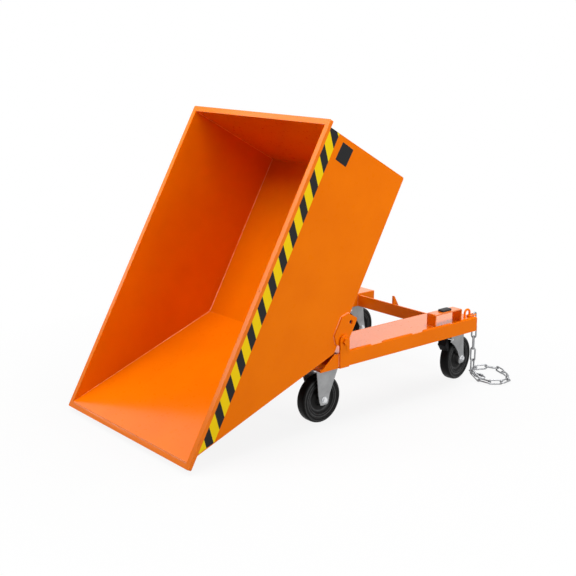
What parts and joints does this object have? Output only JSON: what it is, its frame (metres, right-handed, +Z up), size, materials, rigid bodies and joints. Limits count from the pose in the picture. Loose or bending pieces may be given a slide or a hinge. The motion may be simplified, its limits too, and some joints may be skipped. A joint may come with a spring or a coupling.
{
  "type": "tipping hopper trolley",
  "caption": "Open steel hopper hinged at the front of a castor frame with fork pockets; it tips out forward to empty, and a sliding bolt locks it upright. A safety chain hangs at the rear.",
  "frame": {"origin": "on the floor, under the middle of the tipped part's plan without the loose chain", "axes": "+X to the right of a viewer who faces the front, +Y to the rear, +Z up; it tips out towards -Y"},
  "size_m": [0.9661, 1.7985, 1.2206],
  "materials": {
    "orange_paint": "satin powder coat",
    "tyre_rubber": "matte",
    "wheel_plastic": "moulded",
    "bright_zinc": "bright zinc",
    "zinc_plate": "dull zinc",
    "galvanised_steel": "galvanised",
    "bronze": "turned",
    "black_plastic": "moulded cap",
    "pad_rubber": "matte"
  },
  "bodies": {
    "frame": {"outer_web_right": "orange_paint", "outer_web_left": "orange_paint", "inner_web_right": "orange_paint", "inner_web_left": "orange_paint", "pocket_top_right": "orange_paint", "pocket_top_left": "orange_paint", "castor_mount_plates": "orange_paint", "pivot_upright_right": "orange_paint", "pivot_upright_left": "orange_paint", "pivot_bolts": "orange_paint", "cross_member_front": "orange_paint", "cross_member_rear": "orange_paint", "catch_plate": "orange_paint", "rest_arch_right": "orange_paint", "rest_arch_left": "orange_paint", "rest_pads": "pad_rubber", "castor_bolts": "bright_zinc", "front_axle_right": "bright_zinc", "fixed_fork_right": "zinc_plate", "front_axle_left": "bright_zinc", "fixed_fork_left": "zinc_plate", "swivel_plate_right": "zinc_plate", "swivel_plate_left": "zinc_plate", "chain_lug": "orange_paint", "chain_ring": "orange_paint", "safety_chain": "galvanised_steel", "chain_hook": "galvanised_steel"},
    "hopper": {"trough_sheet": "orange_paint", "latch_guides": "orange_paint", "pivot_bushes": "bronze", "side_panel_right": "orange_paint", "side_panel_left": "orange_paint", "pivot_ear_right": "orange_paint", "pivot_ear_left": "orange_paint", "rim_bar_left": "orange_paint", "rim_bar_right": "orange_paint", "rim_bar_front": "orange_paint", "rim_bar_rear": "orange_paint"},
    "latch": {"latch_bolt": "bright_zinc"},
    "front_wheel_right": {"front_right_tyre": "tyre_rubber", "front_right_wheel_centre": "wheel_plastic", "front_right_bearing": "bright_zinc"},
    "front_wheel_left": {"front_left_tyre": "tyre_rubber", "front_left_wheel_centre": "wheel_plastic", "front_left_bearing": "bright_zinc"},
    "rear_wheel_right": {"rear_right_tyre": "tyre_rubber", "rear_right_wheel_centre": "wheel_plastic", "rear_right_bearing": "bright_zinc"},
    "rear_swivel_right": {"swivel_fork_right": "zinc_plate", "rear_axle_right": "bright_zinc", "brake_pin_right": "bright_zinc"},
    "brake_right": {"brake_pedal_right": "black_plastic"},
    "rear_wheel_left": {"rear_left_tyre": "tyre_rubber", "rear_left_wheel_centre": "wheel_plastic", "rear_left_bearing": "bright_zinc"},
    "rear_swivel_left": {"swivel_fork_left": "zinc_plate", "rear_axle_left": "bright_zinc", "brake_pin_left": "bright_zinc"},
    "brake_left": {"brake_pedal_left": "black_plastic"}
  },
  "joints": [
    {"name": "hopper_tip", "type": "hinge", "parent": "frame", "child": "hopper", "pos_m": [0, -0.07189, 0.35316], "axis": [-1, 0, 0], "range_deg": [0, 61]},
    {"name": "latch_slide", "type": "slide", "parent": "hopper", "child": "latch", "axis": [1, 0, 0], "range_m": [0, 0.025]},
    {"name": "front_wheel_right", "type": "hinge", "parent": "frame", "child": "front_wheel_right", "pos_m": [0.32175, -0.11389, 0.1], "axis": [1, 0, 0], "continuous": true},
    {"name": "front_wheel_left", "type": "hinge", "parent": "frame", "child": "front_wheel_left", "pos_m": [-0.32175, -0.11389, 0.1], "axis": [1, 0, 0], "continuous": true},
    {"name": "rear_swivel_right", "type": "hinge", "parent": "frame", "child": "rear_swivel_right", "pos_m": [0.32175, 0.67011, 0.2296], "axis": [0, 0, 1], "continuous": true, "deforming": ["chain_ring", "safety_chain", "chain_hook"]},
    {"name": "rear_wheel_right", "type": "hinge", "parent": "rear_swivel_right", "child": "rear_wheel_right", "pos_m": [0.31133, 0.7292, 0.1], "axis": [0.9848, 0.1736, 0], "continuous": true},
    {"name": "brake_right", "type": "hinge", "parent": "rear_swivel_right", "child": "brake_right", "pos_m": [0.32904, 0.62875, 0.2126], "axis": [0.9848, 0.1736, 0], "range_deg": [0, 8]},
    {"name": "rear_swivel_left", "type": "hinge", "parent": "frame", "child": "rear_swivel_left", "pos_m": [-0.32175, 0.67011, 0.2296], "axis": [0, 0, 1], "continuous": true},
    {"name": "rear_wheel_left", "type": "hinge", "parent": "rear_swivel_left", "child": "rear_wheel_left", "pos_m": [-0.3301, 0.72952, 0.1], "axis": [0.9903, 0.1392, 0], "continuous": true},
    {"name": "brake_left", "type": "hinge", "parent": "rear_swivel_left", "child": "brake_left", "pos_m": [-0.3159, 0.62852, 0.2126], "axis": [0.9903, 0.1392, 0], "range_deg": [0, 8]}
  ]
}
